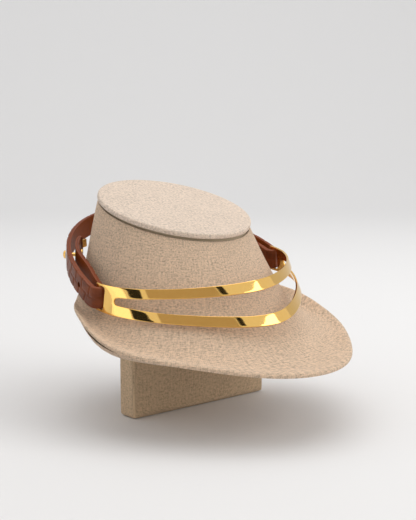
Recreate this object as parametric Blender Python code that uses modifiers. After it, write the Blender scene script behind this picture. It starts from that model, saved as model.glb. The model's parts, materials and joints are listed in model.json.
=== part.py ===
"""Linen-covered jewellery bust on a slab foot, wearing a split-bar choker with leather straps.

Metres, +Z up. The bust faces -Y and is symmetric about X = 0; the choker is built in mirror
pairs too, and then hung askew. The shapes are laid out with Y = 0 at the neck's own axis. At
the end the stand empty, and all it carries, is moved so that the origin is on the ground, in
the middle of the foot's base.
The bust has an oval neck that leans forward and flares into a brim-like chest plate. The
choker is one gold sheet, split into two bars, with a slot at each end. A leather strap runs
from the nape to each slot, goes round the end bar and comes back inside itself to a domed stud.
"""
import math

import bmesh
import bpy
from mathutils import Matrix, Vector

# ---------------------------------------------------------------- driving dimensions
GAP = 0.0003                  # between pieces that touch
LINEN = 0.0008                # thickness of the linen

# neck opening, closed by the cap
CAP_TILT = math.radians(16.5)
CAP_HALF_X = 0.0437
CAP_HALF_Y = 0.0458
CAP_Z = 0.1120
CAP_THICK = 0.0034
NECK_STEP = 0.0006            # how far the neck's top edge stands inside the cap

# rim of the chest plate
RIM_TILT = math.radians(21.2)
RIM_Y = -0.0424
RIM_Z = 0.0673
RIM_RADIUS = 0.0767
RIM_TAIL = 0.0196             # how much longer the rim's radius grows towards the back
SHOULDER_DROOP = 2.6          # metres of fall per square metre of X
TAIL_FLATTEN = 8.0            # the same, measured back from TAIL_START behind the rim's centre
TAIL_START = 0.012
UNDER_FALL = 0.0006           # how far the underside hangs below the rim's level in front
UNDER_SIDES = 0.0045          # how much more at the sides
UNDER_BELLY = 0.0045          # and how much more again by the shoulders
UNDER_PLACE = (108, 20)       # where that is: degrees from the front, and its spread
UNDER_EDGE = 24               # how suddenly the underside falls away inside the rim
RIM_LEAD = math.radians(18)
HEM = 0.0030                  # how far the linen is turned down at the rim

# the corner between the neck's wall and the chest plate, which the profile rounds off
KNEE_HALF_X = 0.0627
KNEE_HALF_Y = 0.0700
KNEE_Y = -0.0104
KNEE_Z = 0.0451
SHOULDER_HOLLOW = 0.0045      # how much the profile is hollowed where the straps hang
BACK_TUCK = 0.05              # share by which the knee is drawn in behind the shoulders
BACK_FLARE = 0.0020           # how much further the rim stands out there
BACK_LIFT = 0.0125            # how much higher the knee is there
PROFILE_STEPS = [0, 0.12, 0.24, 0.36, 0.46, 0.56, 0.66, 0.76, 0.88, 1.0]

# what is under the linen
SKIN = LINEN + GAP
CORE_END = 0.6                # share of the profile down to which the core fills the linen
CORE_INSET = SKIN + 0.0008
CORE_EDGE = 0.0015
CORE_LIFT = 0.0090            # how far the core's middle stands above the lining
CORE_SHARES = (0.3, 0.6)      # rings between the core's edge and its lowest point
LINING_INSET = LINEN + 2 * GAP
LINING_DIP = 0.0035           # how much lower the lining's edge lies by the shoulders
DIP_PLACE = (103, 22)
LINING_SCALES = (0.97, 0.92, 0.85, 0.7, 0.5, 0.25)

# slab foot
FOOT_HALF_X = 0.0475
FOOT_FRONT_Y = -0.0243
FOOT_DEPTH = 0.0140
FOOT_TOP = 0.0745
FOOT_EDGE = 0.0022
FLANGE = 0.0030               # linen turned under at the foot
BLOCK = (0.050, 0.018, 0.014)
DOWEL_RADIUS = 0.0040
DOWEL_X = 0.0160

# choker plate
PLATE_HALF_X = 0.0630
PLATE_HALF_Y = 0.0608
PLATE_Y = -0.0155
PLATE_Z = 0.0728
PLATE_TILT = math.radians(6.5)
CHOKER_ROLL = math.radians(4.7)   # the choker sits askew, its +X side higher
END_LEAN = 0.052              # how far the plate leans in per metre of height, at its ends
FRONT_LEAN = 0.858            # and how much more it leans in front
FRONT_SQUASH = 0.35           # share by which the front's sides are drawn in
PLATE_END_HEIGHT = 0.0148
PLATE_BOW = 0.0023            # extra half height in the middle of the front
PLATE_THICK = 0.0012
BAR_HEIGHT = 0.0046
END_BAR = 0.0022
SLOT_WIDTH = 0.0042
SLOT_RAIL = 0.0012
SPLIT_START = 0.0066          # solid metal between the slot and the split
SPLIT_NOSE = 0.0019           # radius of the split's rounded end
SPLIT_TIP = 0.0004            # half the width at which that end starts
BAR_STEPS = 14                # columns along each bar, from its end to the middle

# straps
LEATHER = 0.0012
LINING = 0.0010
WRAP_RADIUS = 0.0018          # inside of the leather's turn round the end bar
STRAP_HALF_Y = 0.0690
STRAP_RISE = 0.0285
RISE_START = 0.033            # how soon the strap starts to climb behind the slot
STRAP_HALF_WIDTH = 0.0057
STUD_ANGLE = math.radians(126)
HOLE_ANGLE = math.radians(101)
END_ANGLE = math.radians(175.2)
INNER_END_ANGLE = math.radians(136)
LEAF_GAP_AT_STUD = 0.0024     # between the strap's two leaves
LEAF_BELLY = 0.0022
LEAF_CURL = 0.0010
STRAP_THICK = LINING + GAP + LEATHER
TIP_ANGLE = math.radians(3.5)
HOLE_RADIUS = 0.0015
LONG_REACH = 0.0120           # half length of the cutter for the stud, through both leaves
SHORT_REACH = 0.0030          # half length of the cutter for the spare hole, in the outer leaf
STUD_HEAD = 0.0024            # radius of the stud's domed head
STUD_HEIGHT = 0.0016
STUD_LIP = 0.2                # share of the height at which the head's edge is upright
STUD_NECK = 0.0011
STUD_FOOT = 0.0034
CLASP_HALF_HEIGHT = 0.0066
CLASP_DEPTH = 0.0050

AROUND = 48                   # steps round the bust
SHARP = math.radians(40)      # edges that turn by more than this stay sharp
UP = Vector((0, 0, 1))


# ---------------------------------------------------------------- scene and materials
for old in list(bpy.data.objects):
    bpy.data.objects.remove(old, do_unlink=True)


def new_collection(name):
    collection = bpy.data.collections.new(name)
    bpy.context.scene.collection.children.link(collection)
    return collection


parts = new_collection("jewellery_bust_and_choker")
cutters = new_collection("cutters")


def material(name, color, roughness, metallic=0.0):
    mat = bpy.data.materials.new(name)
    mat.use_nodes = True
    shader = mat.node_tree.nodes["Principled BSDF"]
    shader.inputs["Base Color"].default_value = (*color, 1)
    shader.inputs["Roughness"].default_value = roughness
    shader.inputs["Metallic"].default_value = metallic
    return mat


linen = material("linen", (0.62, 0.50, 0.38), 0.9)
cap_linen = material("cap_linen", (0.74, 0.63, 0.51), 0.9)
foot_linen = material("foot_linen", (0.42, 0.33, 0.23), 0.9)
felt = material("felt", (0.20, 0.17, 0.14), 1.0)
core_wood = material("core_wood", (0.72, 0.60, 0.42), 0.8)
board = material("board", (0.50, 0.36, 0.22), 0.8)
birch = material("birch", (0.72, 0.56, 0.36), 0.6)
gold = material("gold", (0.90, 0.62, 0.22), 0.12, 1.0)
croc = material("croc_leather", (0.20, 0.055, 0.025), 0.35)
lining_leather = material("lining_leather", (0.30, 0.09, 0.02), 0.45)


def add_object(name, mesh, mat, collection=parts):
    obj = bpy.data.objects.new(name, mesh)
    collection.objects.link(obj)
    if mat is not None:
        mesh.materials.clear()
        mesh.materials.append(mat)
    return obj


def from_bmesh(name, bm, mat, collection=parts):
    mesh = bpy.data.meshes.new(name)
    bmesh.ops.recalc_face_normals(bm, faces=bm.faces)
    bm.to_mesh(mesh)
    bm.free()
    return add_object(name, mesh, mat, collection)


def make_cutter(obj):
    obj.hide_render = True
    obj.display_type = "WIRE"
    return obj


def cut(obj, cutter):
    modifier = obj.modifiers.new("cut_" + cutter.name, "BOOLEAN")
    modifier.operation = "DIFFERENCE"
    modifier.solver = "EXACT"
    modifier.object = cutter


def solidify(obj, thickness, offset, even=True):
    modifier = obj.modifiers.new("thickness", "SOLIDIFY")
    modifier.thickness = thickness
    modifier.offset = offset
    modifier.use_even_offset = even


def bevel(obj, width, segments=2):
    modifier = obj.modifiers.new("edges", "BEVEL")
    modifier.width = width
    modifier.segments = segments
    modifier.limit_method = "ANGLE"
    modifier.angle_limit = SHARP


def box(name, low, high, mat, collection=parts):
    bm = bmesh.new()
    bmesh.ops.create_cube(bm, size=1.0)
    for vert in bm.verts:
        for axis in range(3):
            vert.co[axis] = low[axis] if vert.co[axis] < 0 else high[axis]
    return from_bmesh(name, bm, mat, collection)


def cylinder(name, start, end, radius, mat, collection=parts, segments=20):
    """A closed cylinder from one point to another."""
    start = Vector(start)
    end = Vector(end)
    along = end - start
    bm = bmesh.new()
    bmesh.ops.create_cone(bm, cap_ends=True, segments=segments, radius1=radius,
                          radius2=radius, depth=along.length)
    obj = from_bmesh(name, bm, mat, collection)
    obj.data.transform(along.to_track_quat("Z", "Y").to_matrix().to_4x4())
    obj.location = (start + end) / 2
    obj.data.shade_smooth()
    obj.data.set_sharp_from_angle(angle=SHARP)
    return obj


# ---------------------------------------------------------------- shape of the bust
def cap_normal():
    return Vector((0, -math.sin(CAP_TILT), math.cos(CAP_TILT)))


def cap_point(phi, grow=0.0, drop=0.0):
    """On the cap's oval at an angle from the front, grown outwards and dropped along its axis."""
    x = (CAP_HALF_X + grow) * math.sin(phi)
    back = -(CAP_HALF_Y + grow) * math.cos(phi)
    in_plane = Vector((x, back * math.cos(CAP_TILT), CAP_Z + back * math.sin(CAP_TILT)))
    return in_plane - cap_normal() * drop


def hump(phi, centre, width):
    """1 at an angle on either side of the front, falling off over a width; both in degrees."""
    return math.exp(-((abs(phi) - math.radians(centre)) / math.radians(width)) ** 2)


def rim_radius(phi):
    """A rounded triangle whose corners are the front and the two shoulders, with a longer tail."""
    tail = max(0.0, (abs(phi) - math.radians(115)) / math.radians(65))
    waves = 0.0040 * math.cos(3 * phi) + 0.0018 * math.cos(4 * phi) - 0.0010 * math.cos(2 * phi)
    return RIM_RADIUS + waves + RIM_TAIL * tail ** 1.2 + BACK_FLARE * hump(phi, 132, 16)


def rim_point(phi, grow=0.0, scale=1.0):
    """On the rim, which falls to the shoulders and flattens towards the back.

    A scale under 1 gives the underside, which bellies where the top side is hollow.
    """
    edge = rim_radius(phi) + grow
    x = edge * scale * math.sin(phi)
    back = -edge * scale * math.cos(phi)
    widest = scale * edge ** 2 + (1 - scale) * RIM_RADIUS ** 2
    z = RIM_Z + back * math.sin(RIM_TILT) - SHOULDER_DROOP * (widest - back ** 2)
    z -= TAIL_FLATTEN * max(0.0, back - TAIL_START) ** 2
    hang = UNDER_FALL + UNDER_SIDES * math.sin(phi) ** 2 + UNDER_BELLY * hump(phi, *UNDER_PLACE)
    z -= hang * scale ** 2 * (1 - scale ** UNDER_EDGE)
    return Vector((x, RIM_Y + back * math.cos(RIM_TILT), z))


def rim_angle(phi):
    """The rim's own angle under a given angle of the neck: behind the shoulders it runs ahead."""
    behind = max(0.0, (abs(phi) - math.pi / 2) / (math.pi / 2))
    ahead = RIM_LEAD * math.sin(math.pi * min(behind, 1.0)) ** 1.5
    return math.copysign(abs(phi) + ahead, phi)


def side_point(phi, s):
    """On the bust's side, from under the cap (s = 0) to the rim (s = 1)."""
    top = cap_point(phi, grow=-NECK_STEP, drop=CAP_THICK)
    end = rim_point(rim_angle(phi))
    hollow = hump(phi, 98, 22)
    tuck = 1 - BACK_TUCK * hump(phi, 122, 18)
    knee_x = (KNEE_HALF_X - SHOULDER_HOLLOW * hollow) * tuck * math.sin(phi)
    knee_z = KNEE_Z - 0.0179 * math.cos(phi) + 0.0042 * math.cos(2 * phi)
    knee_z += BACK_LIFT * hump(phi, 126, 15) - 0.7 * SHOULDER_HOLLOW * hollow
    knee = Vector((knee_x, KNEE_Y - KNEE_HALF_Y * tuck * math.cos(phi), knee_z))
    weight = 0.79 + 0.44 * math.cos(phi) - 0.08 * math.cos(2 * phi) + 0.25 * hollow
    a = (1 - s) ** 2
    b = 2 * weight * s * (1 - s)
    c = s * s
    return (top * a + knee * b + end * c) / (a + b + c)


def side_normal(phi, s):
    """The side's outward normal."""
    step = 1e-3
    middle = min(max(s, step), 1 - step)
    along = side_point(phi, middle + step) - side_point(phi, middle - step)
    around = side_point(phi + step, middle) - side_point(phi - step, middle)
    return along.cross(around).normalized()


def side_inset(phi, s, depth):
    """A point on the side moved inwards, square to the surface."""
    return side_point(phi, s) - side_normal(phi, s) * depth


def angles():
    return [2 * math.pi * i / AROUND - math.pi for i in range(AROUND)]


def loft(name, rings, mat, top_pole=None, bottom_pole=None):
    """A skin through closed rings of equal length, with a fan of faces to each given pole."""
    bm = bmesh.new()
    rows = []
    for ring in rings:
        rows.append([bm.verts.new(point) for point in ring])
    count = len(rows[0])
    for upper, lower in zip(rows, rows[1:]):
        for i in range(count):
            j = (i + 1) % count
            bm.faces.new((upper[i], lower[i], lower[j], upper[j]))
    for pole, row in ((top_pole, rows[0]), (bottom_pole, rows[-1])):
        if pole is None:
            continue
        centre = bm.verts.new(pole)
        for i in range(count):
            here, there = row[i], row[(i + 1) % count]
            bm.faces.new((here, there, centre) if row is rows[0] else (there, here, centre))
    mesh = bpy.data.meshes.new(name)
    bm.to_mesh(mesh)
    bm.free()
    obj = add_object(name, mesh, mat)
    obj.data.shade_smooth()
    obj.data.set_sharp_from_angle(angle=math.radians(50))
    return obj


# ---------------------------------------------------------------- foot
foot_low = Vector((-FOOT_HALF_X, FOOT_FRONT_Y, 0))
foot_high = Vector((FOOT_HALF_X, FOOT_FRONT_Y + FOOT_DEPTH, FOOT_TOP))
foot_mid_y = FOOT_FRONT_Y + FOOT_DEPTH / 2


def make_foot_cover():
    """Linen round the four sides, turned under at the bottom; the top goes up inside the bust."""
    bm = bmesh.new()
    bmesh.ops.create_cube(bm, size=1.0)
    for vert in bm.verts:
        for axis in range(3):
            vert.co[axis] = foot_low[axis] if vert.co[axis] < 0 else foot_high[axis]
    top = [face for face in bm.faces if face.normal.z > 0.9]
    bmesh.ops.delete(bm, geom=top, context="FACES")
    edges = [edge for edge in bm.edges if not edge.is_boundary]
    bmesh.ops.bevel(bm, geom=edges, offset=FOOT_EDGE, segments=3, affect="EDGES", profile=0.5,
                    material=-1)
    bottom = [face for face in bm.faces if face.normal.z < -0.99]
    bmesh.ops.inset_region(bm, faces=bottom, thickness=FLANGE, use_even_offset=True)
    bmesh.ops.delete(bm, geom=bottom, context="FACES")
    obj = from_bmesh("foot_cover", bm, foot_linen)
    solidify(obj, LINEN, -1)
    return obj


make_foot_cover()

foot_core = box("foot_core", foot_low + Vector((SKIN, SKIN, SKIN)),
                foot_high - Vector((SKIN, SKIN, 0)), board)
bevel(foot_core, 0.0014)
pad_inset = FOOT_EDGE + FLANGE + GAP
box("foot_pad", foot_low + Vector((pad_inset, pad_inset, 0)),
    (FOOT_HALF_X - pad_inset, FOOT_FRONT_Y + FOOT_DEPTH - pad_inset, LINEN), felt)

block_low = Vector((-BLOCK[0] / 2, foot_mid_y - BLOCK[1] / 2, FOOT_TOP + GAP))
block_high = block_low + Vector(BLOCK)
core_block = box("core_block", block_low, block_high, birch)

dowel_low = FOOT_TOP - 0.012
dowel_high = FOOT_TOP + 0.010
for side_name, side in (("left", -1), ("right", 1)):
    spot = Vector((side * DOWEL_X, foot_mid_y, 0))
    cylinder("foot_dowel_" + side_name, spot + UP * dowel_low, spot + UP * dowel_high,
             DOWEL_RADIUS, birch)
    hole = make_cutter(cylinder("dowel_hole_" + side_name, spot + UP * (dowel_low - GAP),
                                spot + UP * (dowel_high + GAP), DOWEL_RADIUS + GAP, None,
                                cutters))
    cut(foot_core, hole)
    cut(core_block, hole)


# ---------------------------------------------------------------- neck and chest plate
def make_body_cover():
    """Linen from the cap's seam down the neck, over the chest plate and down its edge."""
    rings = [[side_point(phi, s) for phi in angles()] for s in PROFILE_STEPS]
    rings.append([side_point(phi, 1) - UP * HEM for phi in angles()])
    obj = loft("body_cover", rings, linen)
    solidify(obj, LINEN, -1, even=False)
    return obj


make_body_cover()

def underside_ring(scale, drop):
    """A ring of the underside's lining; by the shoulders it passes under the hollow's edge."""
    ring = []
    for phi in angles():
        lower = drop + LINING_DIP * scale ** 2 * hump(rim_angle(phi), *DIP_PLACE)
        ring.append(rim_point(rim_angle(phi), grow=-LINING_INSET, scale=scale) - UP * lower)
    return ring


def make_neck_core():
    """The form inside the linen: flat on top under the cap, a shallow cone underneath."""
    steps = [s for s in PROFILE_STEPS if s < CORE_END]
    rings = [[side_inset(phi, s, CORE_INSET) for phi in angles()] for s in steps]
    rings[0] = [cap_point(phi, grow=-NECK_STEP - CORE_INSET, drop=CAP_THICK) for phi in angles()]
    low = [point - UP * CORE_EDGE for point in rings[-1]]
    pole = rim_point(0, scale=0) - UP * (HEM - CORE_LIFT)
    rings.append(low)
    rings += [[point.lerp(pole, share) for point in low] for share in CORE_SHARES]
    top_pole = Vector((0, 0, CAP_Z)) - cap_normal() * CAP_THICK
    return loft("neck_core", rings, core_wood, top_pole, pole)


neck_core = make_neck_core()


def make_underside_lining():
    """Linen panel glued across the bottom of the chest plate, inside its hem."""
    low = HEM - GAP
    top = low - LINEN
    rings = [underside_ring(scale, top) for scale in reversed(LINING_SCALES)]
    rings += [underside_ring(1, top), underside_ring(1, low)]
    rings += [underside_ring(scale, low) for scale in LINING_SCALES]
    middle = rim_point(0, scale=0)
    return loft("underside_lining", rings, linen, middle - UP * top, middle - UP * low)


underside_lining = make_underside_lining()

clear = Vector((GAP, GAP, GAP))
mortise = make_cutter(box("foot_mortise", foot_low - clear, foot_high + clear, None, cutters))
block_pocket = make_cutter(box("block_pocket", block_low - clear - UP * 0.002,
                               block_high + clear, None, cutters))
for piece in (neck_core, underside_lining):
    cut(piece, mortise)
cut(neck_core, block_pocket)


# ---------------------------------------------------------------- cap
def make_cap_cover():
    """Linen over the cap board's top and down its edge."""
    fall = CAP_THICK - GAP
    edge_round = 0.0011
    rings = []
    for scale in (0.35, 0.7):
        rings.append([Vector((0, 0, CAP_Z)).lerp(cap_point(phi, grow=-edge_round), scale)
                      for phi in angles()])
    for turn in (90, 60, 30, 0):
        out = edge_round * (math.cos(math.radians(turn)) - 1)
        drop = edge_round * (1 - math.sin(math.radians(turn)))
        rings.append([cap_point(phi, grow=out, drop=drop) for phi in angles()])
    rings.append([cap_point(phi, drop=fall) for phi in angles()])
    obj = loft("cap_cover", rings, cap_linen, Vector((0, 0, CAP_Z)))
    solidify(obj, LINEN, -1)
    return obj


def make_cap_board():
    """The stiff disc that closes the neck."""
    top = [cap_point(phi, grow=-SKIN - 0.0004, drop=SKIN) for phi in angles()]
    waist = [cap_point(phi, grow=-SKIN, drop=SKIN + 0.0006) for phi in angles()]
    low = [cap_point(phi, grow=-SKIN, drop=CAP_THICK - GAP) for phi in angles()]
    middle = Vector((0, 0, CAP_Z))
    return loft("cap_board", [top, waist, low], board, middle - cap_normal() * SKIN,
                middle - cap_normal() * (CAP_THICK - GAP))


make_cap_cover()
make_cap_board()


# ---------------------------------------------------------------- choker plate
def band_point(phi, height, side_shift=0.0):
    """On the plate's conical band at an angle from the front and a height from its middle.

    Past +-90 degrees the band goes on straight back by side_shift.
    """
    front = max(0.0, math.cos(phi))
    lean = END_LEAN + FRONT_LEAN * front
    wide = (PLATE_HALF_X - height * lean) * math.sin(phi) * (1 - FRONT_SQUASH * front * front)
    back = -(PLATE_HALF_Y - height * lean) * front + side_shift
    y = back * math.cos(PLATE_TILT) - height * math.sin(PLATE_TILT)
    z = back * math.sin(PLATE_TILT) + height * math.cos(PLATE_TILT)
    return Vector((wide, PLATE_Y + y, PLATE_Z + z))


def half_height(phi):
    return PLATE_END_HEIGHT / 2 + PLATE_BOW * max(0.0, math.cos(phi)) ** 2.43


def plate_columns():
    """Columns of half the sheet, from the end bar to the middle of the front.

    Each is an angle from the front, a shift behind the band, half the opening's height, and
    whether the sheet is open between this column and the next.
    """
    quarter = PLATE_HALF_X * 0.93
    side = math.pi / 2
    slot_end = side - SLOT_WIDTH / quarter
    split = slot_end - SPLIT_START / quarter
    slot_half = PLATE_END_HEIGHT / 2 - SLOT_RAIL
    columns = [(side, END_BAR, slot_half, False), (side, 0.0, slot_half, True)]
    columns.append((slot_end, 0.0, slot_half, False))
    columns.append((split + 0.010, 0.0, SPLIT_TIP, False))
    for turn in (0, 30, 60, 90):
        reach = SPLIT_NOSE * (1 - math.cos(math.radians(turn))) / quarter
        rise = max(SPLIT_TIP, SPLIT_NOSE * math.sin(math.radians(turn)))
        columns.append((split - reach, 0.0, rise, True))
    last = columns[-1][0]
    for i in range(1, BAR_STEPS + 1):
        phi = last * (1 - i / BAR_STEPS)
        parted = min(1.0, i * 4 / BAR_STEPS)
        open_half = SPLIT_NOSE + (half_height(phi) - BAR_HEIGHT - SPLIT_NOSE) * parted
        columns.append((phi, 0.0, open_half, True))
    return columns


def make_choker_plate():
    """One sheet: two bars that part in front, solid ends, and a slot for the leather in each."""
    bm = bmesh.new()
    rows = []
    columns = plate_columns()
    for phi, shift, open_half, _ in columns:
        half = half_height(phi)
        heights = (-half, -open_half, open_half, half)
        rows.append([bm.verts.new(band_point(phi, height, shift)) for height in heights])
    for (here, there, column) in zip(rows, rows[1:], columns):
        for k in range(3):
            if k == 1 and column[3]:
                continue
            bm.faces.new((here[k], there[k], there[k + 1], here[k + 1]))
    obj = from_bmesh("choker_plate", bm, gold)
    mirror = obj.modifiers.new("other_half", "MIRROR")
    mirror.merge_threshold = 0.00005
    solidify(obj, PLATE_THICK, 0)
    return obj


make_choker_plate()


# ---------------------------------------------------------------- straps
def pivot_frame(side):
    """Middle of the end bar, and the directions back, up along the bar and outwards."""
    phi = side * math.pi / 2
    pivot = band_point(phi, 0.0, END_BAR / 2)
    back = Vector((0, math.cos(PLATE_TILT), math.sin(PLATE_TILT)))
    along = (band_point(phi, 0.001) - band_point(phi, -0.001)).normalized()
    return pivot, back, along, back.cross(along).normalized() * side


def strap_point(side, psi):
    """Inner face of the outer leaf, at an angle from the front round to the nape."""
    pivot, _, _, out = pivot_frame(side)
    start = pivot + out * WRAP_RADIUS
    t = (psi - math.pi / 2) / (math.pi / 2)
    rise = STRAP_RISE * math.sin(t * math.pi / 2) * (1 - math.exp(-max(t, 0.0) / RISE_START))
    return Vector((start.x * math.sin(psi), start.y - STRAP_HALF_Y * math.cos(psi),
                   start.z + rise))


def strap_width(side, psi):
    """Direction across the strap: along the end bar in front, nearly upright at the nape."""
    _, _, along, _ = pivot_frame(side)
    t = (psi - math.pi / 2) / (math.pi / 2)
    guess = along.lerp(Vector((0, -0.15, 1)), min(1.0, t * 1.3))
    step = 1e-3
    travel = (strap_point(side, psi + step) - strap_point(side, psi)).normalized()
    return (guess - travel * guess.dot(travel)).normalized()


def strap_normal(side, psi):
    step = 1e-3
    travel = (strap_point(side, psi + step) - strap_point(side, psi)).normalized()
    return travel.cross(strap_width(side, psi)).normalized() * side


def leaf_gap(psi):
    """How far the inner leaf's outer face stands inside the outer leaf's inner face."""
    t = (psi - math.pi / 2) / (STUD_ANGLE - math.pi / 2)
    if t <= 1:
        start = 2 * WRAP_RADIUS
        return start + (LEAF_GAP_AT_STUD - start) * t + LEAF_BELLY * math.sin(math.pi * t) ** 2
    curl = (psi - STUD_ANGLE) / (INNER_END_ANGLE - STUD_ANGLE)
    return LEAF_GAP_AT_STUD + LEAF_CURL * curl ** 3


def inner_leaf_point(side, psi):
    return strap_point(side, psi) - strap_normal(side, psi) * leaf_gap(psi)


def spread(first, last, count):
    return [first + (last - first) * i / (count - 1) for i in range(count)]


def loop_stations(side):
    """Points and width directions from the nape to the slot, round the end bar and back."""
    pivot, back, along, out = pivot_frame(side)
    stations = []
    for psi in spread(END_ANGLE, math.pi / 2, 22):
        stations.append((strap_point(side, psi), strap_width(side, psi)))
    for turn in spread(0, math.pi, 7)[1:-1]:
        stations.append((pivot + (out * math.cos(turn) - back * math.sin(turn)) * WRAP_RADIUS,
                         along))
    for psi in spread(math.pi / 2, INNER_END_ANGLE, 14):
        stations.append((inner_leaf_point(side, psi), strap_width(side, psi)))
    return stations


def ribbon(name, stations, sign, low, high, half_width, mat):
    """A closed strip between two heights above the stations' line."""
    bm = bmesh.new()
    rings = []
    count = len(stations)
    for i, (point, width) in enumerate(stations):
        before = stations[max(i - 1, 0)][0]
        after = stations[min(i + 1, count - 1)][0]
        normal = (after - before).cross(width).normalized() * sign
        corners = ((low, -1), (high, -1), (high, 1), (low, 1))
        rings.append([bm.verts.new(point + normal * lift + width * half_width * way)
                      for lift, way in corners])
    for here, there in zip(rings, rings[1:]):
        for k in range(4):
            m = (k + 1) % 4
            bm.faces.new((here[k], there[k], there[m], here[m]))
    bm.faces.new(rings[0])
    bm.faces.new(list(reversed(rings[-1])))
    obj = from_bmesh(name, bm, mat)
    obj.data.shade_smooth()
    obj.data.set_sharp_from_angle(angle=SHARP)
    return obj


def turned(name, profile, base, direction, mat):
    """A turned piece: (radius, height) pairs from its top on the axis down to its foot."""
    mesh = bpy.data.meshes.new(name)
    points = [(radius, 0, height) for radius, height in profile]
    mesh.from_pydata(points, [(i, i + 1) for i in range(len(points) - 1)], [])
    obj = add_object(name, mesh, mat)
    screw = obj.modifiers.new("turn", "SCREW")
    screw.steps = 16
    screw.render_steps = 16
    screw.use_merge_vertices = True
    screw.merge_threshold = 0.00001
    obj.rotation_euler = Vector(direction).to_track_quat("Z", "Y").to_euler()
    obj.location = base
    return obj


def stud_profiles(shank):
    """The low domed head, and the flat foot whose post goes through both leaves."""
    head = [(STUD_HEAD * math.sin(math.radians(turn)),
             STUD_HEIGHT * (STUD_LIP + (1 - STUD_LIP) * math.cos(math.radians(turn))))
            for turn in range(0, 91, 15)]
    head[0] = (0.0, STUD_HEIGHT)
    head += [(STUD_HEAD, 0.0), (0.0, 0.0)]
    foot = [(0.0, -GAP), (STUD_NECK, -GAP), (STUD_NECK, -shank), (STUD_FOOT - 0.0003, -shank),
            (STUD_FOOT, -shank - 0.0003), (STUD_FOOT, -shank - 0.0009), (0.0, -shank - 0.0010)]
    return head, foot


strap_pieces = {}
for side_name, side in (("left", -1), ("right", 1)):
    before = set(parts.objects)
    stations = loop_stations(side)
    first, second = stations[0], stations[1]
    outward = strap_normal(side, END_ANGLE)
    travel_sign = 1 if (second[0] - first[0]).cross(first[1]).dot(outward) > 0 else -1
    lining_piece = ribbon(side_name + "_strap_lining", stations, travel_sign, 0.0, LINING,
                          STRAP_HALF_WIDTH, lining_leather)
    face_piece = ribbon(side_name + "_strap_face", stations, travel_sign, LINING + GAP,
                        STRAP_THICK, STRAP_HALF_WIDTH, croc)

    stud_spot = strap_point(side, STUD_ANGLE)
    stud_axis = strap_normal(side, STUD_ANGLE)
    outside = stud_spot + stud_axis * (STRAP_THICK + GAP)
    shank = 2 * STRAP_THICK + leaf_gap(STUD_ANGLE) + 3 * GAP
    head, foot = stud_profiles(shank)
    turned(side_name + "_stud_head", head, outside, stud_axis, gold)
    turned(side_name + "_stud_foot", foot, outside, stud_axis, gold)

    reach = stud_axis * LONG_REACH
    stud_hole = make_cutter(cylinder(side_name + "_stud_hole", stud_spot - reach,
                                     stud_spot + reach, HOLE_RADIUS, None, cutters, 12))
    spot = strap_point(side, HOLE_ANGLE)
    short = strap_normal(side, HOLE_ANGLE) * SHORT_REACH
    spare_hole = make_cutter(cylinder(side_name + "_spare_hole", spot - short, spot + short,
                                      HOLE_RADIUS, None, cutters, 12))
    for piece in (lining_piece, face_piece):
        cut(piece, stud_hole)
        cut(piece, spare_hole)

    tip_start = INNER_END_ANGLE + 3 * GAP / STRAP_HALF_Y
    tip_stations = []
    for psi in spread(tip_start, tip_start + TIP_ANGLE, 3):
        tip_stations.append((inner_leaf_point(side, psi), strap_width(side, psi)))
    ribbon(side_name + "_strap_tip", tip_stations, travel_sign, 0.0, STRAP_THICK,
           STRAP_HALF_WIDTH, gold)

    clasp_start = END_ANGLE + GAP / STRAP_HALF_Y
    clasp_end = math.pi - GAP / STRAP_HALF_Y
    middle = (CLASP_DEPTH - STRAP_THICK) / 2
    clasp_stations = []
    for psi in spread(clasp_end, clasp_start, 3):
        clasp_stations.append((strap_point(side, psi), strap_width(side, psi)))
    ribbon(side_name + "_clasp", clasp_stations, travel_sign, -middle, CLASP_DEPTH - middle,
           CLASP_HALF_HEIGHT, gold)
    strap_pieces[side_name] = set(parts.objects) - before


# ---------------------------------------------------------------- what carries what
def carrier(name, place, children, parent=None):
    """An empty on a joint's axis, or under the bust, that its pieces keep their places by."""
    empty = bpy.data.objects.new(name, None)
    empty.empty_display_size = 0.02
    bpy.context.scene.collection.objects.link(empty)
    empty.location = place
    if parent is not None:
        empty.parent = parent
        empty.matrix_parent_inverse = Matrix.Translation(-parent.location)
    for child in children:
        child.parent = empty
        child.matrix_parent_inverse = Matrix.Translation(-empty.location)
    return empty


choker_pieces = {bpy.data.objects["choker_plate"]}
bust_pieces = set(parts.objects) - choker_pieces
for pieces in strap_pieces.values():
    bust_pieces -= pieces
strap_cutters = {side_name: {cutter for cutter in cutters.objects
                             if cutter.name.startswith(side_name)} for side_name in strap_pieces}
bust_cutters = set(cutters.objects) - strap_cutters["left"] - strap_cutters["right"]
bust_stand = carrier("bust_stand", Vector((0, foot_mid_y, 0)), bust_pieces | bust_cutters)
choker_lift = carrier("choker_lift", Vector((0, PLATE_Y, PLATE_Z)), choker_pieces, bust_stand)
for side_name, side in (("left", -1), ("right", 1)):
    carrier(side_name + "_strap_swing", pivot_frame(side)[0],
            strap_pieces[side_name] | strap_cutters[side_name], choker_lift)
choker_lift.rotation_euler.y = -CHOKER_ROLL
bust_stand.location.y = 0
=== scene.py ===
"""Looks for a linen jewellery bust that wears a split-bar choker on two leather straps."""
import json
import math

import bmesh
import bpy
from mathutils import Matrix, Vector
from mathutils.noise import noise


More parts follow.
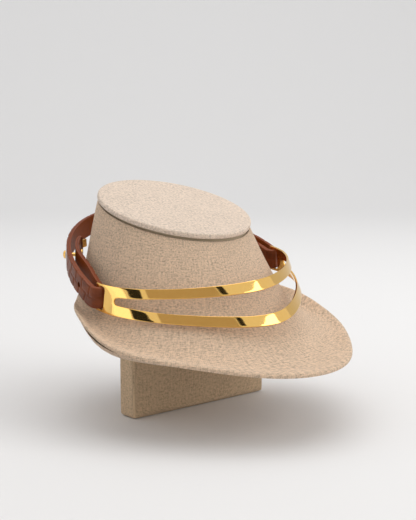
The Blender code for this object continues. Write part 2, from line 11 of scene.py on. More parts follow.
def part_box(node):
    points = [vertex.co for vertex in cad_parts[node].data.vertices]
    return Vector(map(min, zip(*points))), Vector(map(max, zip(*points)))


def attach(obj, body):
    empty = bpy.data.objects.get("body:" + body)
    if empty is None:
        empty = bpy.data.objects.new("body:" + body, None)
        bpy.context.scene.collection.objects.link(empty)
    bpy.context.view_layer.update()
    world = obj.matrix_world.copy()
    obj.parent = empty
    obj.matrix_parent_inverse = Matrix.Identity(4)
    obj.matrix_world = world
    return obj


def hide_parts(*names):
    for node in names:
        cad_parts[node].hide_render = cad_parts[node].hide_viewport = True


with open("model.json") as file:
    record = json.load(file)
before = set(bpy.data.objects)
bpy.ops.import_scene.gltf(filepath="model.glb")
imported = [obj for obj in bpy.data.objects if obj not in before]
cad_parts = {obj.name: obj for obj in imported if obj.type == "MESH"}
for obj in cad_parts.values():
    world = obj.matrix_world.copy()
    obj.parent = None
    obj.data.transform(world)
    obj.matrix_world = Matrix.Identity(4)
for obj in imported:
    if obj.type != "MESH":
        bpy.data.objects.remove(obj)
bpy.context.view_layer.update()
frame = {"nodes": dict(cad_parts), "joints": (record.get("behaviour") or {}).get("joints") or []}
nodes = frame["nodes"]
UP = Vector((0, 0, 1))


# ---- Studio ------------------------------------------------------------------------------
# The bust stands on a pale grey paper sweep. The camera looks at it from its right front, a
# little above the level of the chest plate. Four soft boxes light it from above and the
# sides, and three cards outside the view give the polished metal something to show.
CAMERA_AZIMUTH = math.radians(-40)
CAMERA_ELEVATION = math.radians(7.4)
CAMERA_DISTANCE = 0.581
CAMERA_TARGET_ASIDE = 0.0189
CAMERA_TARGET_HEIGHT = 0.0804
CAMERA_TARGET_Y = 0.0173

back = Vector((math.sin(CAMERA_AZIMUTH) * math.cos(CAMERA_ELEVATION),
               -math.cos(CAMERA_AZIMUTH) * math.cos(CAMERA_ELEVATION),
               math.sin(CAMERA_ELEVATION)))
aside = UP.cross(back).normalized()
away = Vector((-back.x, -back.y, 0)).normalized()

camera_data = bpy.data.cameras.new("studio_camera")
camera_data.lens = 70
camera_data.sensor_width = 36
camera = bpy.data.objects.new("studio_camera", camera_data)
bpy.context.scene.collection.objects.link(camera)
target = aside * CAMERA_TARGET_ASIDE + UP * CAMERA_TARGET_HEIGHT
target.y += CAMERA_TARGET_Y
camera.location = target + back * CAMERA_DISTANCE
camera.rotation_mode = "QUATERNION"
camera.rotation_quaternion = (-back).to_track_quat("-Z", "Y")
bpy.context.scene.camera = camera


def shader_of(name, color, roughness, metallic=0.0):
    """A new material, with its node tree and its Principled shader."""
    material = bpy.data.materials.new(name)
    material.use_nodes = True
    tree = material.node_tree
    shader = tree.nodes["Principled BSDF"]
    shader.inputs["Base Color"].default_value = (*color, 1)
    shader.inputs["Roughness"].default_value = roughness
    shader.inputs["Metallic"].default_value = metallic
    return material, tree, shader


def object_of(name, bm, material):
    """A smooth object at the origin from a bmesh, with one material."""
    mesh = bpy.data.meshes.new(name)
    bm.to_mesh(mesh)
    bm.free()
    mesh.shade_smooth()
    made = bpy.data.objects.new(name, mesh)
    bpy.context.scene.collection.objects.link(made)
    mesh.materials.append(material)
    return made


SWEEP_FRONT = 2.2
SWEEP_BACK = 1.3
SWEEP_RADIUS = 1.1
SWEEP_HEIGHT = 2.6
SWEEP_WIDTH = 7.0
paper, paper_tree, paper_shader = shader_of("sweep_paper", (0.75, 0.75, 0.755), 0.85)
paper_grain = paper_tree.nodes.new("ShaderNodeTexNoise")
paper_grain.inputs["Scale"].default_value = 3.0
paper_tint = paper_tree.nodes.new("ShaderNodeValToRGB")
paper_tint.color_ramp.elements[0].color = (0.74, 0.74, 0.75, 1)
paper_tint.color_ramp.elements[1].color = (0.76, 0.76, 0.765, 1)
paper_tree.links.new(paper_grain.outputs["Fac"], paper_tint.inputs["Fac"])
paper_tree.links.new(paper_tint.outputs["Color"], paper_shader.inputs["Base Color"])

bm = bmesh.new()
edge = [bm.verts.new(away * -SWEEP_FRONT), bm.verts.new(away * SWEEP_BACK)]
bm.edges.new(edge)
bmesh.ops.spin(bm, geom=[edge[1]], cent=away * SWEEP_BACK + UP * SWEEP_RADIUS, axis=aside,
               angle=math.radians(90), steps=24)
bm.verts.ensure_lookup_table()
top = max(bm.verts, key=lambda vert: vert.co.z * 10 + vert.co.dot(away))
rise = bmesh.ops.extrude_vert_indiv(bm, verts=[top])["verts"]
bmesh.ops.translate(bm, verts=rise, vec=UP * SWEEP_HEIGHT)
bmesh.ops.translate(bm, verts=bm.verts, vec=aside * -SWEEP_WIDTH / 2)
wide = bmesh.ops.extrude_edge_only(bm, edges=bm.edges)["geom"]
bmesh.ops.translate(bm, verts=[item for item in wide if isinstance(item, bmesh.types.BMVert)],
                    vec=aside * SWEEP_WIDTH)
bmesh.ops.recalc_face_normals(bm, faces=bm.faces)
sweep = object_of("paper_sweep", bm, paper)

bpy.context.scene.view_settings.view_transform = "Standard"
world = bpy.data.worlds.new("studio_air")
world.use_nodes = True
world.node_tree.nodes["Background"].inputs["Color"].default_value = (1.0, 0.99, 0.975, 1)
world.node_tree.nodes["Background"].inputs["Strength"].default_value = 0.80
bpy.context.scene.world = world


def soft_box(name, place, towards, width, height, power, color=(1, 1, 1)):
    """A rectangular studio light that faces a point."""
    data = bpy.data.lights.new(name, "AREA")
    data.shape = "RECTANGLE"
    data.size = width
    data.size_y = height
    data.energy = power
    data.color = color
    lamp = bpy.data.objects.new(name, data)
    bpy.context.scene.collection.objects.link(lamp)
    lamp.location = place
    lamp.rotation_mode = "QUATERNION"
    lamp.rotation_quaternion = (Vector(towards) - Vector(place)).to_track_quat("-Z", "Y")
    return lamp


middle = Vector((0, 0, 0.08))
soft_box("overhead_box", middle + UP * 1.1 + away * 0.15 + aside * 0.15, middle, 1.3, 1.1, 5.5,
         (1.0, 0.99, 0.975))
soft_box("right_box", middle + UP * 0.55 + back * 0.35 + aside * 1.15, middle, 0.8, 0.9, 5.5,
         (1.0, 0.985, 0.96))
soft_box("wall_box", UP * 1.9 + away * 0.5, away * 2.2 + UP * 0.9, 2.4, 0.6, 6)

CARD_DISTANCE = 1.15


def reflected_card(name, tone, turn_low, turn_high, rise_low, rise_high):
    """A studio card outside the view, which only the polished metal shows; angles in degrees."""
    bm = bmesh.new()
    bmesh.ops.create_grid(bm, x_segments=12, y_segments=6, size=0.5)
    for vert in bm.verts:
        turn = math.radians(turn_low + (turn_high - turn_low) * (vert.co.x + 0.5))
        rise = math.radians(rise_low + (rise_high - rise_low) * (vert.co.y + 0.5))
        flat = math.cos(rise)
        vert.co = middle + CARD_DISTANCE * Vector((math.sin(turn) * flat,
                                                   -math.cos(turn) * flat, math.sin(rise)))
    object_of(name, bm, shader_of(name, tone, 0.9)[0])


reflected_card("tan_card", (0.50, 0.44, 0.38), -62, -14, 14, 56)
reflected_card("black_card_left", (0.01, 0.01, 0.01), -86, -67, 6, 17)
reflected_card("black_card_front", (0.01, 0.01, 0.01), -13, -7, 42, 52)
soft_box("left_box", middle + 1.1 * Vector((-0.96, 0.2, -0.03)), middle, 0.7, 0.6, 0.9,
         (1.0, 0.985, 0.96))


# ---- Slab foot ---------------------------------------------------------------------------
# A board wrapped in tan linen, turned under at the bottom round a strip of felt; its linen is
# darker than the neck's, partly its own tone and partly painted shade from the chest plate's rim
# above it.
# Two birch dowels run from the board into a block inside the bust.
# Partly the foot linen's own darker tone and partly painted shade cast by the chest plate's rim
# above.
FOOT_LINEN_AND_SHADE = (0.58, 0.42, 0.265)
THREAD_PITCH = 0.00062
THREAD_WANDER = 2.2 * THREAD_PITCH
THREAD_RELIEF = 0.00024
SAME_POINT = 1e-5


def math_node(tree, operation, first, second=None, third=None, clamp=False):
    """A Math node fed by sockets or numbers; gives its output."""
    node = tree.nodes.new("ShaderNodeMath")
    node.operation = operation
    node.use_clamp = clamp
    for socket, value in zip(node.inputs, (first, second, third)):
        if value is None:
            continue
        if isinstance(value, (int, float)):
            socket.default_value = value
        else:
            tree.links.new(value, socket)
    return node.outputs[0]


def mix_colors(tree, share, low, high):
    """A colour mix of two sockets or plain colours, by a socket or a number."""
    node = tree.nodes.new("ShaderNodeMix")
    node.data_type = "RGBA"
    for socket, value in ((node.inputs["Factor"], share), (node.inputs[6], low),
                          (node.inputs[7], high)):
        if isinstance(value, (int, float)):
            socket.default_value = value
        elif isinstance(value, tuple):
            socket.default_value = (*value, 1)
        else:
            tree.links.new(value, socket)
    return node.outputs[2]


def cloth_noise(tree, place, stretch, detail=2.0, roughness=0.5):
    """Noise in the cloth's own flat coordinates, with a scale along each thread direction."""
    scale = tree.nodes.new("ShaderNodeMapping")
    scale.inputs["Scale"].default_value = (*stretch, 1)
    tree.links.new(place, scale.inputs["Vector"])
    grain = tree.nodes.new("ShaderNodeTexNoise")
    grain.inputs["Scale"].default_value = 1.0
    grain.inputs["Detail"].default_value = detail
    grain.inputs["Roughness"].default_value = roughness
    tree.links.new(scale.outputs["Vector"], grain.inputs["Vector"])
    return grain.outputs["Fac"]


def add_bump(tree, shader, height, strength, distance):
    """Fine relief from a height socket."""
    bump = tree.nodes.new("ShaderNodeBump")
    bump.inputs["Strength"].default_value = strength
    bump.inputs["Distance"].default_value = distance
    tree.links.new(height, bump.inputs["Height"])
    tree.links.new(bump.outputs["Normal"], shader.inputs["Normal"])


def linen_material(name, color, contrast=1.0):
    """Plain-weave linen: warp over weft, slubbed threads, dark and pale flecks, and painted
    shade between the threads.
    """
    material, tree, shader = shader_of(name, color, 0.92)
    flat = tree.nodes.new("ShaderNodeUVMap")
    flat.uv_map = "cloth"
    place = flat.outputs["UV"]
    wander = cloth_noise(tree, place, (160, 160))
    split = tree.nodes.new("ShaderNodeSeparateXYZ")
    tree.links.new(place, split.inputs["Vector"])
    waves = []
    for axis in ("X", "Y"):
        bent = math_node(tree, "MULTIPLY_ADD", wander, THREAD_WANDER, split.outputs[axis])
        turn = math_node(tree, "MULTIPLY", bent, math.pi / THREAD_PITCH)
        waves.append(math_node(tree, "SINE", turn))
    warp = math_node(tree, "ABSOLUTE", waves[0])
    weft = math_node(tree, "ABSOLUTE", waves[1])
    crossing = math_node(tree, "MULTIPLY", waves[0], waves[1])
    over = math_node(tree, "MULTIPLY_ADD", crossing, 2.5, 0.5, clamp=True)
    under = math_node(tree, "SUBTRACT", 1.0, over)
    height = math_node(tree, "ADD", math_node(tree, "MULTIPLY", over, warp),
                       math_node(tree, "MULTIPLY", under, weft))
    slub_across = cloth_noise(tree, place, (90, 1500), 2.0)
    slub_along = cloth_noise(tree, place, (1500, 90), 2.0)
    slubs = math_node(tree, "ADD", slub_across, slub_along)
    slub_share = math_node(tree, "MULTIPLY_ADD", slubs, 2.6, -2.1, clamp=True)
    flecks = cloth_noise(tree, place, (520, 520), 3.0, 0.65)
    dark_share = math_node(tree, "MULTIPLY_ADD", flecks, -9.0, 3.35, clamp=True)
    pale_share = math_node(tree, "MULTIPLY_ADD", flecks, 7.0, -4.2, clamp=True)
    dark = tuple(part * (1 - 0.55 * contrast) for part in color)
    pale = tuple(min(1.0, part * (1 + 0.30 * contrast)) for part in color)
    thread_low = tuple(part * (1 - 0.42 * contrast) for part in color)
    thread_high = tuple(min(1.0, part * (1 + 0.10 * contrast)) for part in color)
    # Painted shade: the weave's low places between threads are darker and the thread crowns a
    # little lighter, following the relief height.
    tone = mix_colors(tree, height, thread_low, thread_high)
    grain = cloth_noise(tree, place, (760, 760), 2.0, 0.6)
    grain_dark = math_node(tree, "MULTIPLY_ADD", grain, -8.0, 3.9, clamp=True)
    grain_pale = math_node(tree, "MULTIPLY_ADD", grain, 8.0, -4.1, clamp=True)
    tone = mix_colors(tree, math_node(tree, "MULTIPLY", grain_dark, 0.70), tone, dark)
    tone = mix_colors(tree, math_node(tree, "MULTIPLY", grain_pale, 0.80), tone, pale)
    tone = mix_colors(tree, math_node(tree, "MULTIPLY", slub_share, 0.60), tone, pale)
    tone = mix_colors(tree, math_node(tree, "MULTIPLY", dark_share, 0.75), tone, dark)
    tone = mix_colors(tree, math_node(tree, "MULTIPLY", pale_share, 0.55), tone, pale)
    cloud = cloth_noise(tree, place, (38, 38), 3.0)
    cloud_share = math_node(tree, "MULTIPLY_ADD", cloud, 1.6, -0.55, clamp=True)
    tone = mix_colors(tree, math_node(tree, "MULTIPLY", cloud_share, 0.16), tone, thread_low)
    tree.links.new(tone, shader.inputs["Base Color"])
    raised = math_node(tree, "MULTIPLY_ADD", slub_share, 0.7, height)
    add_bump(tree, shader, raised, 0.9, THREAD_RELIEF)
    shader.inputs["Sheen Weight"].default_value = 0.12
    shader.inputs["Sheen Roughness"].default_value = 0.6
    shader.inputs["Specular IOR Level"].default_value = 0.2
    return material


def quads_of(node, face_angle, shape_angle):
    """A bmesh of a CAD node's skin, merged and made of quads; both limits are in degrees."""
    bm = bmesh.new()
    bm.from_mesh(nodes[node].data)
    for layer in list(bm.loops.layers.uv):
        bm.loops.layers.uv.remove(layer)
    bmesh.ops.remove_doubles(bm, verts=bm.verts, dist=SAME_POINT)
    bmesh.ops.join_triangles(bm, faces=bm.faces, angle_face_threshold=math.radians(face_angle),
                             angle_shape_threshold=math.radians(shape_angle), cmp_seam=False)
    return bm


def rounded(made, name, levels):
    """Finish an object with a subdivision surface."""
    rounding = made.modifiers.new(name, "SUBSURF")
    rounding.levels = levels
    rounding.render_levels = levels


def cloth_from(node, name, material, flatten, levels=2):
    """Cloth laid over a CAD node's skin and unrolled by flatten."""
    bm = quads_of(node, 60, 70)
    flat = bm.loops.layers.uv.new("cloth")
    for face in bm.faces:
        centre = face.calc_center_median()
        for loop in face.loops:
            loop[flat].uv = flatten(loop.vert.co, face.normal, centre)
    made = object_of(name, bm, material)
    rounded(made, "rounding", levels)
    return made


def unroll_box(point, normal, centre):
    """Flat coordinates of a point on a box, from the side it is on."""
    if abs(normal.z) > 0.7:
        return point.x, point.y
    if abs(normal.x) > 0.7:
        return point.y, point.z
    return point.x, point.z


def wood_material(name, color, ring_scale, roughness=0.65):
    """Bare wood with fine long grain along X."""
    material, tree, shader = shader_of(name, color, roughness)
    coords = tree.nodes.new("ShaderNodeTexCoord")
    scale = tree.nodes.new("ShaderNodeMapping")
    scale.inputs["Scale"].default_value = (0.12, 1.0, 1.0)
    tree.links.new(coords.outputs["Object"], scale.inputs["Vector"])
    grain = tree.nodes.new("ShaderNodeTexNoise")
    grain.inputs["Scale"].default_value = ring_scale
    grain.inputs["Detail"].default_value = 5
    tree.links.new(scale.outputs["Vector"], grain.inputs["Vector"])
    dark = tuple(part * 0.72 for part in color)
    tree.links.new(mix_colors(tree, grain.outputs["Fac"], dark, color),
                   shader.inputs["Base Color"])
    add_bump(tree, shader, grain.outputs["Fac"], 0.25, 0.0002)
    return material


def finish_node(name, material):
    """A CAD node keeps its shape and takes a finish."""
    mesh = nodes[name].data
    mesh.materials.clear()
    mesh.materials.append(material)


foot_cloth = linen_material("foot_linen_weave", FOOT_LINEN_AND_SHADE, contrast=0.8)
foot_cover = cloth_from("foot_cover", "foot_linen_wrap", foot_cloth, unroll_box)
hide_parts("foot_cover")
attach(foot_cover, "bust")

FIBREBOARD = (0.42, 0.30, 0.19)
finish_node("foot_core", wood_material("fibreboard", FIBREBOARD, 900, 0.8))
birch = wood_material("birch_grain", (0.70, 0.54, 0.35), 420)
for name in ("core_block", "foot_dowel_left", "foot_dowel_right"):
    finish_node(name, birch)

felt, felt_tree, felt_shader = shader_of("dark_felt", (0.10, 0.085, 0.07), 1.0)
felt_fibre = felt_tree.nodes.new("ShaderNodeTexNoise")
felt_fibre.inputs["Scale"].default_value = 2600
felt_place = felt_tree.nodes.new("ShaderNodeTexCoord")
felt_tree.links.new(felt_place.outputs["Object"], felt_fibre.inputs["Vector"])
felt_tree.links.new(mix_colors(felt_tree, felt_fibre.outputs["Fac"], (0.06, 0.05, 0.04),
                               (0.15, 0.13, 0.11)), felt_shader.inputs["Base Color"])
finish_node("foot_pad", felt)


# ---- Neck and chest plate ----------------------------------------------------------------
# One piece of natural linen is pulled over a carved form, from the cap's seam down the neck
# and out over the chest plate, and turned down round its rim. A second piece closes the
# underside.
BODY_LINEN = (0.66, 0.49, 0.35)
NECK_RADIUS = 0.056
NECK_AXIS_Y = 0.012


def turn_round(point, centre, axis_y):
    """Angle round an upright axis, kept near that of the face's middle where it wraps."""
    turn = math.atan2(point.x, -(point.y - axis_y))
    face_turn = math.atan2(centre.x, -(centre.y - axis_y))
    if turn - face_turn > math.pi:
        turn -= 2 * math.pi
    elif face_turn - turn > math.pi:
        turn += 2 * math.pi
    return turn


def unroll_neck(point, normal, centre):
    """Round the neck's axis one way, and down the slope the other."""
    out = math.hypot(point.x, point.y - NECK_AXIS_Y)
    return turn_round(point, centre, NECK_AXIS_Y) * NECK_RADIUS, out - point.z


def unroll_plan(point, normal, centre):
    """Straight down on to the floor."""
    return point.x, point.y


body_cloth = linen_material("body_linen_weave", BODY_LINEN)
body_cover = cloth_from("body_cover", "body_linen_skin", body_cloth, unroll_neck)
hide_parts("body_cover")
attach(body_cover, "bust")


def one_side_area(made):
    """Half the area of a closed skin, which is the cloth's own area."""
    scan = bmesh.new()
    scan.from_mesh(made.data)
    area = sum(face.calc_area() for face in scan.faces) / 2
    scan.free()
    return area


BODY_BLANK = (0.26, 0.25)
min(one_side_area(body_cover), BODY_BLANK[0] * BODY_BLANK[1])

finish_node("neck_core", wood_material("form_wood", (0.66, 0.53, 0.36), 160))

under_cloth = linen_material("underside_linen_weave", tuple(0.9 * part for part in BODY_LINEN))
under_cover = cloth_from("underside_lining", "underside_linen", under_cloth, unroll_plan, 1)
under_low, under_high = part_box("underside_lining")
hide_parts("underside_lining")
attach(under_cover, "bust")
min(one_side_area(under_cover),
                  (under_high.x - under_low.x) * (under_high.y - under_low.y))


# ---- Cap ---------------------------------------------------------------------------------
# A stiff oval board in the same linen closes the neck. The cloth is folded over its edge,
# and a fine dark seam is left between the cap and the neck.
# Painted light: the cap's linen is the neck's linen painted paler, in place of the light falling
# on the top from above.
CAP_LINEN_WITH_PAINTED_LIGHT = (0.76, 0.63, 0.52)
CAP_TILT = math.radians(16.5)
CAP_MIDDLE_Y = 0.0173
CAP_RADIUS = 0.0455


def unroll_cap(point, normal, centre):
    """In the cap's own tilted plane, and round its edge."""
    level = point.y * math.cos(CAP_TILT) + point.z * math.sin(CAP_TILT)
    if abs(normal.z) > 0.6:
        return point.x, level
    return turn_round(point, centre, CAP_MIDDLE_Y) * CAP_RADIUS, point.z


cap_cloth = linen_material("cap_linen_weave", CAP_LINEN_WITH_PAINTED_LIGHT, contrast=0.85)
cap_cover = cloth_from("cap_cover", "cap_linen_skin", cap_cloth, unroll_cap)
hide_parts("cap_cover")
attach(cap_cover, "bust")
one_side_area(cap_cover)
finish_node("cap_board", wood_material("cap_fibreboard", FIBREBOARD, 900, 0.8))


# ---- Choker plate ------------------------------------------------------------------------
# One band of gold-plated metal, split along its middle into two polished bars that part in
# front. Each end is solid, with an upright slot for the leather.
def gold_material(name):
    """Polished warm gold with faint rubbing marks."""
    material, tree, shader = shader_of(name, (0.93, 0.60, 0.20), 0.09, 1.0)
    coords = tree.nodes.new("ShaderNodeTexCoord")
    marks = tree.nodes.new("ShaderNodeTexNoise")
    marks.inputs["Scale"].default_value = 700
    marks.inputs["Detail"].default_value = 4
    tree.links.new(coords.outputs["Object"], marks.inputs["Vector"])
    rub = tree.nodes.new("ShaderNodeMapRange")
    rub.inputs["To Min"].default_value = 0.03
    rub.inputs["To Max"].default_value = 0.09
    tree.links.new(marks.outputs["Fac"], rub.inputs["Value"])
    tree.links.new(rub.outputs["Result"], shader.inputs["Roughness"])
    tree.links.new(mix_colors(tree, marks.outputs["Fac"], (0.93, 0.56, 0.16),
                              (0.97, 0.63, 0.20)), shader.inputs["Base Color"])
    add_bump(tree, shader, marks.outputs["Fac"], 0.03, 0.0001)
    return material


def polished_from(node, name, edge_width, levels):
    """A metal piece over a CAD node: its edges broken, then rounded smooth."""
    bm = quads_of(node, 35, 75)
    if edge_width:
        sharp = [edge for edge in bm.edges
                 if edge.is_manifold and edge.calc_face_angle() > math.radians(45)]
        bmesh.ops.bevel(bm, geom=sharp, offset=edge_width, segments=2, affect="EDGES",
                        profile=0.5, material=-1)
    made = object_of(name, bm, gold)
    rounded(made, "polish", levels)
    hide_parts(node)
    return made


gold = gold_material("polished_gold")
choker_plate = polished_from("choker_plate", "split_bar_plate", 0.00022, 2)
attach(choker_plate, "choker")


# ---- Leather straps ----------------------------------------------------------------------
# Each strap is two layers, a croc-embossed reddish-brown face and a smooth chestnut lining,
# with painted edges. It comes from the nape, goes through the plate's slot, turns round the
# end bar and comes back inside itself, where a domed stud buttons both leaves.
LEATHER = 0.0012
LINING = 0.0010
LAYER_GAP = 0.0003
STRAP_HALF_WIDTH = 0.0057
WRAP_RADIUS = 0.0018
STRAP_HALF_Y = 0.0690
STRAP_RISE = 0.0285
RISE_START = 0.033
PLATE_TILT = math.radians(6.5)
CHOKER_ROLL = math.radians(4.7)
CHOKER_HEIGHT = 0.0728
OUTER_STEPS = 120
TURN_STEPS = 12
INNER_STEPS = 80
STUD_ANGLE = math.radians(126)
HOLE_ANGLE = math.radians(101)
NAPE_ANGLE = math.radians(175.2)
INNER_END_ANGLE = math.radians(136)
LEAF_GAP_AT_STUD = 0.0024
LEAF_BELLY = 0.0022
LEAF_CURL = 0.0010
HOLE_RADIUS = 0.0015
LINING_FILL = 0.5
NAPE_WIDTHWAYS = Vector((0, -0.15, 1))
SCALE_LENGTH = 0.0078
SCALE_STAGGER = 0.35 * SCALE_LENGTH
SCALE_WANDER = 0.0011
SCALE_GROOVE = 0.00055
GROOVE_DEPTH = 0.00040
GRID_STEP = 0.00042
TIP_SHARE = 0.45
EDGE_PAINT = 0.0004
EDGE_STEEPNESS = 3500
EDGE_BROWN = (0.22, 0.055, 0.020)


class StrapPath:
    """The line that a strap follows, from the nape to the slot, round the bar and back."""

    def __init__(self, side, joint):
        self.side = side
        self.roll = Matrix.Rotation(-CHOKER_ROLL, 3, "Y")
        self.centre = UP * CHOKER_HEIGHT
        level = self.roll.inverted()
        self.pivot = level @ (Vector(joint["pos_m"]) - self.centre) + self.centre
        self.along = level @ Vector(joint["axis"]) * -side
        self.back = Vector((0, math.cos(PLATE_TILT), math.sin(PLATE_TILT)))
        self.out = self.back.cross(self.along).normalized() * side
        self.stations = self.make_stations()
        self.lengths = [0.0]
        for here, there in zip(self.stations, self.stations[1:]):
            self.lengths.append(self.lengths[-1] + (there[0] - here[0]).length)

    def point(self, psi):
        start = self.pivot + self.out * WRAP_RADIUS
        t = (psi - math.pi / 2) / (math.pi / 2)
        rise = STRAP_RISE * math.sin(t * math.pi / 2) * (1 - math.exp(-max(t, 0.0) / RISE_START))
        return Vector((start.x * math.sin(psi), start.y - STRAP_HALF_Y * math.cos(psi),
                       start.z + rise))

    def travel(self, psi):
        return (self.point(psi + 1e-3) - self.point(psi)).normalized()

    def width(self, psi):
        t = (psi - math.pi / 2) / (math.pi / 2)
        guess = self.along.lerp(NAPE_WIDTHWAYS, min(1.0, t * 1.3))
        travel = self.travel(psi)
        return (guess - travel * guess.dot(travel)).normalized()

    def normal(self, psi):
        return self.travel(psi).cross(self.width(psi)).normalized() * self.side

    def leaf_gap(self, psi):
        t = (psi - math.pi / 2) / (STUD_ANGLE - math.pi / 2)
        if t <= 1:
            start = 2 * WRAP_RADIUS
            belly = LEAF_BELLY * math.sin(math.pi * t) ** 2
            return start + (LEAF_GAP_AT_STUD - start) * t + belly
        curl = (psi - STUD_ANGLE) / (INNER_END_ANGLE - STUD_ANGLE)
        return LEAF_GAP_AT_STUD + LEAF_CURL * curl ** 3

    def make_stations(self):
        """Point, direction across and outward normal, close together all the way."""
        found = []
        for i in range(OUTER_STEPS + 1):
            psi = NAPE_ANGLE + (math.pi / 2 - NAPE_ANGLE) * i / OUTER_STEPS
            found.append((self.point(psi), self.width(psi), self.normal(psi)))
        for i in range(1, TURN_STEPS):
            turn = math.pi * i / TURN_STEPS
            way = self.out * math.cos(turn) - self.back * math.sin(turn)
            found.append((self.pivot + way * WRAP_RADIUS, self.along, way))
        for i in range(INNER_STEPS + 1):
            psi = math.pi / 2 + (INNER_END_ANGLE - math.pi / 2) * i / INNER_STEPS
            normal = self.normal(psi)
            found.append((self.point(psi) - normal * self.leaf_gap(psi), self.width(psi),
                          -normal))
        return [(self.roll @ (point - self.centre) + self.centre, self.roll @ width,
                 self.roll @ normal) for point, width, normal in found]

    def at(self, length):
        """Station at a length from the nape."""
        length = min(max(length, 0.0), self.lengths[-1])
        low, high = 0, len(self.lengths) - 1
        while high - low > 1:
            half = (low + high) // 2
            if self.lengths[half] <= length:
                low = half
            else:
                high = half
        share = (length - self.lengths[low]) / (self.lengths[high] - self.lengths[low])
        return tuple(a.lerp(b, share) for a, b in zip(self.stations[low],
                                                      self.stations[high]))

    def length_at(self, psi):
        """Length from the nape to an angle on the outer leaf."""
        share = (NAPE_ANGLE - psi) / (NAPE_ANGLE - math.pi / 2)
        return self.lengths[round(OUTER_STEPS * share)]

    def inner_length_at(self, psi):
        """Length from the nape to an angle on the inner leaf."""
        share = (psi - math.pi / 2) / (INNER_END_ANGLE - math.pi / 2)
        return self.lengths[round(INNER_STEPS * share) - INNER_STEPS - 1]


def croc_height(along, across):
    """Depth of the embossing: two rows of soft scales, with wandering grooves."""
    wander = noise(Vector((along * 160, across * 120, 3.0))) * SCALE_WANDER
    row = math.copysign(1, across + 0.3 * wander)
    shift = 0.0 if row > 0 else SCALE_STAGGER
    spot = (along + shift + wander) / SCALE_LENGTH
    to_line = abs(spot - round(spot)) * SCALE_LENGTH
    to_middle = abs(across + 0.35 * wander)
    groove = math.exp(-(to_line / SCALE_GROOVE) ** 2)
    ridge = 0.8 * math.exp(-(to_middle / (0.7 * SCALE_GROOVE)) ** 2)
    wrinkle = 0.18 * noise(Vector((along * 900, across * 500, 7.0)))
    return -GROOVE_DEPTH * (max(groove, ridge) + wrinkle)


def strap_layer(name, path, material, low, high, emboss):
    """A long grid, punched for the stud and the spare holes, then bent along the path."""
    length = path.lengths[-1]
    count = round(length / GRID_STEP)
    across_count = round(2 * STRAP_HALF_WIDTH / GRID_STEP)
    bm = bmesh.new()
    bmesh.ops.create_grid(bm, x_segments=count, y_segments=across_count, size=0.5)
    bmesh.ops.scale(bm, vec=(length, 2 * STRAP_HALF_WIDTH, 1), verts=bm.verts)
    bmesh.ops.translate(bm, vec=(length / 2, 0, 0), verts=bm.verts)
    holes = [Vector((path.length_at(HOLE_ANGLE), 0, 0)),
             Vector((path.length_at(STUD_ANGLE), 0, 0)),
             Vector((path.inner_length_at(STUD_ANGLE), 0, 0))]
    for hole in holes:
        inside = [face for face in bm.faces
                  if (face.calc_center_median() - hole).length < HOLE_RADIUS]
        bmesh.ops.delete(bm, geom=inside, context="FACES")
        for vert in bm.verts:
            if vert.is_boundary and (vert.co - hole).length < HOLE_RADIUS + GRID_STEP:
                vert.co = hole + (vert.co - hole).normalized() * HOLE_RADIUS
    for face in bm.faces:
        face.normal_update()
    bmesh.ops.recalc_face_normals(bm, faces=bm.faces)
    flat = bm.loops.layers.uv.new("leather")
    for face in bm.faces:
        for loop in face.loops:
            loop[flat].uv = (loop.vert.co.x, loop.vert.co.y)
    upper_geometry = bmesh.ops.extrude_face_region(bm, geom=list(bm.faces),
                                                   use_keep_orig=True)["geom"]
    upper = {item for item in upper_geometry if isinstance(item, bmesh.types.BMVert)}
    edge_round = 0.45 * (high - low)
    for vert in bm.verts:
        along, across = vert.co.x, vert.co.y
        centre, width, normal = path.at(along)
        lift = low
        if vert in upper:
            lift = high
            if emboss:
                lift += croc_height(along, across)
        to_edge = STRAP_HALF_WIDTH - abs(across)
        if to_edge < edge_round:
            fall = edge_round - math.sqrt(max(0.0, edge_round ** 2
                                              - (edge_round - to_edge) ** 2))
            lift += -fall if vert in upper and emboss else 0.0
        vert.co = centre + width * across + normal * lift
    bmesh.ops.recalc_face_normals(bm, faces=bm.faces)
    made = object_of(name, bm, material)
    made.data.set_sharp_from_angle(angle=math.radians(50))
    return made


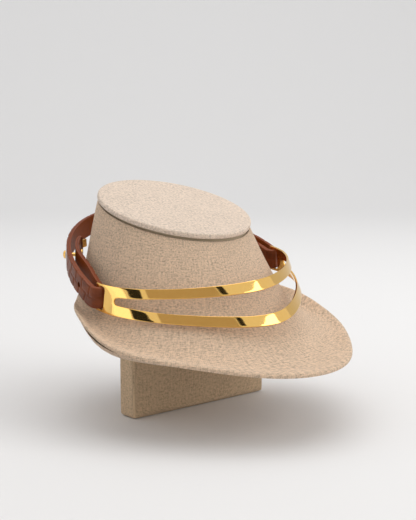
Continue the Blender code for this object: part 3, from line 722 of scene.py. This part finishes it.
def leather_material(name, face_color, dark_color, edge_color, roughness, grain_scale,
                     grain_depth, coat):
    """Leather in the strap's own coordinates, with painted edges and pores."""
    material, tree, shader = shader_of(name, face_color, roughness)
    flat = tree.nodes.new("ShaderNodeUVMap")
    flat.uv_map = "leather"
    place = flat.outputs["UV"]
    blotch = cloth_noise(tree, place, (120, 200), 4.0, 0.6)
    pores = cloth_noise(tree, place, (grain_scale, grain_scale), 3.0, 0.6)
    share = math_node(tree, "MULTIPLY_ADD", blotch, 1.8, -0.4, clamp=True)
    tone = mix_colors(tree, share, dark_color, face_color)
    split = tree.nodes.new("ShaderNodeSeparateXYZ")
    tree.links.new(place, split.inputs["Vector"])
    from_middle = math_node(tree, "ABSOLUTE", split.outputs["Y"])
    edge_share = math_node(tree, "MULTIPLY_ADD", from_middle, EDGE_STEEPNESS,
                           -EDGE_STEEPNESS * (STRAP_HALF_WIDTH - EDGE_PAINT), clamp=True)
    tone = mix_colors(tree, edge_share, tone, edge_color)
    tree.links.new(tone, shader.inputs["Base Color"])
    add_bump(tree, shader, pores, 0.5, grain_depth)
    rough = tree.nodes.new("ShaderNodeMapRange")
    rough.inputs["To Min"].default_value = roughness * 0.8
    rough.inputs["To Max"].default_value = roughness * 1.25
    tree.links.new(blotch, rough.inputs["Value"])
    tree.links.new(rough.outputs["Result"], shader.inputs["Roughness"])
    shader.inputs["Specular IOR Level"].default_value = 0.15
    shader.inputs["Coat Weight"].default_value = coat
    shader.inputs["Coat Roughness"].default_value = 0.18
    return material


croc = leather_material("croc_leather_face", (0.235, 0.058, 0.016), (0.070, 0.015, 0.004),
                        EDGE_BROWN, 0.38, 2600, 0.00008, 0.10)
chestnut = leather_material("chestnut_lining", (0.34, 0.085, 0.012), (0.20, 0.045, 0.006),
                            EDGE_BROWN, 0.5, 3800, 0.00005, 0.0)


def shorten(piece, node):
    """The metal tip is only a short pin on the middle of the leather's end."""
    low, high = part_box(node)
    bm = bmesh.new()
    bm.from_mesh(piece.data)
    bmesh.ops.translate(bm, verts=bm.verts, vec=-(low + high) / 2)
    bmesh.ops.scale(bm, verts=bm.verts, vec=(1, 1, TIP_SHARE))
    bmesh.ops.translate(bm, verts=bm.verts, vec=(low + high) / 2)
    bm.to_mesh(piece.data)
    bm.free()


joints = {joint["name"]: joint for joint in frame["joints"]}
for side_name, side in (("left", -1), ("right", 1)):
    path = StrapPath(side, joints[side_name + "_strap_swing"])
    body = side_name + "_strap"
    face = strap_layer(side_name + "_croc_strap", path, croc, LINING + LAYER_GAP,
                       LINING + LAYER_GAP + LEATHER, True)
    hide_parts(side_name + "_strap_face")
    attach(face, body)
    lining = strap_layer(side_name + "_chestnut_lining", path, chestnut, 0.0,
                         LINING + LINING_FILL * LAYER_GAP, False)
    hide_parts(side_name + "_strap_lining")
    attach(lining, body)
    for part, bevel_width, levels in (("_stud_head", 0.0, 2), ("_stud_foot", 0.0001, 1),
                                      ("_strap_tip", 0.0003, 1), ("_clasp", 0.0006, 1)):
        piece = polished_from(side_name + part, side_name + "_gold" + part, bevel_width,
                              levels)
        if part == "_strap_tip":
            shorten(piece, side_name + part)
        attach(piece, body)
